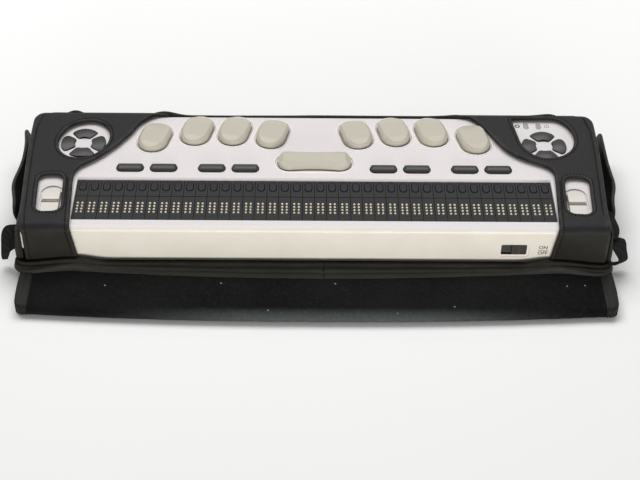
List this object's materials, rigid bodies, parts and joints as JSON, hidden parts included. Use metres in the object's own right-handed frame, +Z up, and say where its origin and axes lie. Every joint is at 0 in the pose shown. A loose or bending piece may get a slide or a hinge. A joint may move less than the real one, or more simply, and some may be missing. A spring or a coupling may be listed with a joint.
{
  "type": "braille display",
  "caption": "Portable braille display with a cell line, routing keys, chord keyboard and pads, in a leather case whose hinged cover folds back under it.",
  "frame": {"origin": "on the table, at the underside of the folded-back cover, below the middle of the device", "axes": "+X to the reader's right along the braille line, +Y to the back, +Z up"},
  "size_m": [0.336, 0.1399, 0.0314],
  "materials": {
    "shell": "silver-white satin",
    "base": "satin",
    "cell_black": "smooth matte",
    "dot_cream": "smooth",
    "key_beige": "satin",
    "key_black": "satin",
    "light": "frosted lens",
    "board": "solder mask",
    "metal": "plated",
    "actuator": "moulded",
    "battery": "shrink sleeve",
    "rubber": "matte",
    "leather": "black grained, stitched",
    "lining": "black fleece",
    "webbing": "woven strap"
  },
  "bodies": {
    "case_and_device": {"top_shell": "shell", "bottom_shell": "base", "braille_cells": "cell_black", "power_socket": "key_black", "status_lights": "light", "main_board": "board", "key_switches": "metal", "usb_socket": "metal", "card_socket": "metal", "base_screws": "metal", "cell_actuators": "actuator", "battery_pack": "battery", "device_feet": "rubber", "case_bottom": "leather", "case_back_wall": "leather", "case_left_side": "leather", "case_right_side": "leather", "left_shoulder": "leather", "right_shoulder": "leather", "hinge_welt": "leather", "left_strap_loop": "webbing", "right_strap_loop": "webbing"},
    "dot_pins": {"dot_pins": "dot_cream"},
    "routing_keys": {"routing_keys": "cell_black"},
    "key_dot_7": {"key_dot_7": "key_beige"},
    "key_dot_3": {"key_dot_3": "key_beige"},
    "key_dot_2": {"key_dot_2": "key_beige"},
    "key_dot_1": {"key_dot_1": "key_beige"},
    "key_dot_4": {"key_dot_4": "key_beige"},
    "key_dot_5": {"key_dot_5": "key_beige"},
    "key_dot_6": {"key_dot_6": "key_beige"},
    "key_dot_8": {"key_dot_8": "key_beige"},
    "space_bar": {"space_bar": "key_beige"},
    "function_key_1": {"function_key_1": "key_black"},
    "function_key_2": {"function_key_2": "key_black"},
    "function_key_3": {"function_key_3": "key_black"},
    "function_key_4": {"function_key_4": "key_black"},
    "function_key_5": {"function_key_5": "key_black"},
    "function_key_6": {"function_key_6": "key_black"},
    "function_key_7": {"function_key_7": "key_black"},
    "function_key_8": {"function_key_8": "key_black"},
    "left_pad_up": {"left_pad_up": "key_black"},
    "left_pad_left": {"left_pad_left": "key_black"},
    "left_pad_down": {"left_pad_down": "key_black"},
    "left_pad_right": {"left_pad_right": "key_black"},
    "right_pad_up": {"right_pad_up": "key_black"},
    "right_pad_left": {"right_pad_left": "key_black"},
    "right_pad_down": {"right_pad_down": "key_black"},
    "right_pad_right": {"right_pad_right": "key_black"},
    "left_scroll_up": {"left_scroll_up": "key_beige"},
    "left_scroll_down": {"left_scroll_down": "key_beige"},
    "right_scroll_up": {"right_scroll_up": "key_beige"},
    "right_scroll_down": {"right_scroll_down": "key_beige"},
    "power_slider": {"power_slider": "key_black"},
    "left_side_flap": {"left_side_flap": "leather"},
    "right_side_flap": {"right_side_flap": "leather"},
    "spine": {"cover_spine": "lining", "hinge_strip": "leather", "fold_nose": "lining"},
    "panel": {"cover_panel": "lining"}
  },
  "joints": [
    {"name": "cover_hinge", "type": "hinge", "parent": "case_and_device", "child": "spine", "pos_m": [0, -0.05428, 0.00625], "axis": [-1, 0, 0], "range_deg": [0, 90]},
    {"name": "cover_fold", "type": "hinge", "parent": "spine", "child": "panel", "pos_m": [0, -0.08526, 0.00313], "axis": [-1, 0, 0], "range_deg": [0, 270], "deforming": ["fold_nose"]},
    {"name": "left_flap_hinge", "type": "hinge", "parent": "case_and_device", "child": "left_side_flap", "pos_m": [-0.157, 0.00998, 0.00505], "axis": [0, -1, 0], "range_deg": [-12, 70]},
    {"name": "right_flap_hinge", "type": "hinge", "parent": "case_and_device", "child": "right_side_flap", "pos_m": [0.157, 0.00998, 0.00505], "axis": [0, 1, 0], "range_deg": [-12, 70]},
    {"name": "power_slide", "type": "slide", "parent": "case_and_device", "child": "power_slider", "axis": [-1, 0, 0], "range_m": [0, 0.0054]},
    {"name": "dot_pins_press", "type": "slide", "parent": "case_and_device", "child": "dot_pins", "axis": [0, 0, -1], "range_m": [0, 0.0007], "stiffness_N_per_m": 300, "springref_m": -0.001},
    {"name": "routing_keys_press", "type": "slide", "parent": "case_and_device", "child": "routing_keys", "axis": [0, 0, -1], "range_m": [0, 0.0006], "stiffness_N_per_m": 300, "springref_m": -0.001},
    {"name": "key_dot_7_press", "type": "slide", "parent": "case_and_device", "child": "key_dot_7", "axis": [0, 0, -1], "range_m": [0, 0.0022], "stiffness_N_per_m": 300, "springref_m": -0.001},
    {"name": "key_dot_3_press", "type": "slide", "parent": "case_and_device", "child": "key_dot_3", "axis": [0, 0, -1], "range_m": [0, 0.0022], "stiffness_N_per_m": 300, "springref_m": -0.001},
    {"name": "key_dot_2_press", "type": "slide", "parent": "case_and_device", "child": "key_dot_2", "axis": [0, 0, -1], "range_m": [0, 0.0022], "stiffness_N_per_m": 300, "springref_m": -0.001},
    {"name": "key_dot_1_press", "type": "slide", "parent": "case_and_device", "child": "key_dot_1", "axis": [0, 0, -1], "range_m": [0, 0.0022], "stiffness_N_per_m": 300, "springref_m": -0.001},
    {"name": "key_dot_4_press", "type": "slide", "parent": "case_and_device", "child": "key_dot_4", "axis": [0, 0, -1], "range_m": [0, 0.0022], "stiffness_N_per_m": 300, "springref_m": -0.001},
    {"name": "key_dot_5_press", "type": "slide", "parent": "case_and_device", "child": "key_dot_5", "axis": [0, 0, -1], "range_m": [0, 0.0022], "stiffness_N_per_m": 300, "springref_m": -0.001},
    {"name": "key_dot_6_press", "type": "slide", "parent": "case_and_device", "child": "key_dot_6", "axis": [0, 0, -1], "range_m": [0, 0.0022], "stiffness_N_per_m": 300, "springref_m": -0.001},
    {"name": "key_dot_8_press", "type": "slide", "parent": "case_and_device", "child": "key_dot_8", "axis": [0, 0, -1], "range_m": [0, 0.0022], "stiffness_N_per_m": 300, "springref_m": -0.001},
    {"name": "space_bar_press", "type": "slide", "parent": "case_and_device", "child": "space_bar", "axis": [0, 0, -1], "range_m": [0, 0.0022], "stiffness_N_per_m": 300, "springref_m": -0.001},
    {"name": "function_key_1_press", "type": "slide", "parent": "case_and_device", "child": "function_key_1", "axis": [0, 0, -1], "range_m": [0, 0.001], "stiffness_N_per_m": 300, "springref_m": -0.001},
    {"name": "function_key_2_press", "type": "slide", "parent": "case_and_device", "child": "function_key_2", "axis": [0, 0, -1], "range_m": [0, 0.001], "stiffness_N_per_m": 300, "springref_m": -0.001},
    {"name": "function_key_3_press", "type": "slide", "parent": "case_and_device", "child": "function_key_3", "axis": [0, 0, -1], "range_m": [0, 0.001], "stiffness_N_per_m": 300, "springref_m": -0.001},
    {"name": "function_key_4_press", "type": "slide", "parent": "case_and_device", "child": "function_key_4", "axis": [0, 0, -1], "range_m": [0, 0.001], "stiffness_N_per_m": 300, "springref_m": -0.001},
    {"name": "function_key_5_press", "type": "slide", "parent": "case_and_device", "child": "function_key_5", "axis": [0, 0, -1], "range_m": [0, 0.001], "stiffness_N_per_m": 300, "springref_m": -0.001},
    {"name": "function_key_6_press", "type": "slide", "parent": "case_and_device", "child": "function_key_6", "axis": [0, 0, -1], "range_m": [0, 0.001], "stiffness_N_per_m": 300, "springref_m": -0.001},
    {"name": "function_key_7_press", "type": "slide", "parent": "case_and_device", "child": "function_key_7", "axis": [0, 0, -1], "range_m": [0, 0.001], "stiffness_N_per_m": 300, "springref_m": -0.001},
    {"name": "function_key_8_press", "type": "slide", "parent": "case_and_device", "child": "function_key_8", "axis": [0, 0, -1], "range_m": [0, 0.001], "stiffness_N_per_m": 300, "springref_m": -0.001},
    {"name": "left_pad_up_press", "type": "slide", "parent": "case_and_device", "child": "left_pad_up", "axis": [0, 0, -1], "range_m": [0, 0.0008], "stiffness_N_per_m": 300, "springref_m": -0.001},
    {"name": "left_pad_left_press", "type": "slide", "parent": "case_and_device", "child": "left_pad_left", "axis": [0, 0, -1], "range_m": [0, 0.0008], "stiffness_N_per_m": 300, "springref_m": -0.001},
    {"name": "left_pad_down_press", "type": "slide", "parent": "case_and_device", "child": "left_pad_down", "axis": [0, 0, -1], "range_m": [0, 0.0008], "stiffness_N_per_m": 300, "springref_m": -0.001},
    {"name": "left_pad_right_press", "type": "slide", "parent": "case_and_device", "child": "left_pad_right", "axis": [0, 0, -1], "range_m": [0, 0.0008], "stiffness_N_per_m": 300, "springref_m": -0.001},
    {"name": "right_pad_up_press", "type": "slide", "parent": "case_and_device", "child": "right_pad_up", "axis": [0, 0, -1], "range_m": [0, 0.0008], "stiffness_N_per_m": 300, "springref_m": -0.001},
    {"name": "right_pad_left_press", "type": "slide", "parent": "case_and_device", "child": "right_pad_left", "axis": [0, 0, -1], "range_m": [0, 0.0008], "stiffness_N_per_m": 300, "springref_m": -0.001},
    {"name": "right_pad_down_press", "type": "slide", "parent": "case_and_device", "child": "right_pad_down", "axis": [0, 0, -1], "range_m": [0, 0.0008], "stiffness_N_per_m": 300, "springref_m": -0.001},
    {"name": "right_pad_right_press", "type": "slide", "parent": "case_and_device", "child": "right_pad_right", "axis": [0, 0, -1], "range_m": [0, 0.0008], "stiffness_N_per_m": 300, "springref_m": -0.001},
    {"name": "left_scroll_up_press", "type": "slide", "parent": "case_and_device", "child": "left_scroll_up", "axis": [0, 0, -1], "range_m": [0, 0.0008], "stiffness_N_per_m": 300, "springref_m": -0.001},
    {"name": "left_scroll_down_press", "type": "slide", "parent": "case_and_device", "child": "left_scroll_down", "axis": [0, 0, -1], "range_m": [0, 0.0008], "stiffness_N_per_m": 300, "springref_m": -0.001},
    {"name": "right_scroll_up_press", "type": "slide", "parent": "case_and_device", "child": "right_scroll_up", "axis": [0, 0, -1], "range_m": [0, 0.0008], "stiffness_N_per_m": 300, "springref_m": -0.001},
    {"name": "right_scroll_down_press", "type": "slide", "parent": "case_and_device", "child": "right_scroll_down", "axis": [0, 0, -1], "range_m": [0, 0.0008], "stiffness_N_per_m": 300, "springref_m": -0.001}
  ]
}
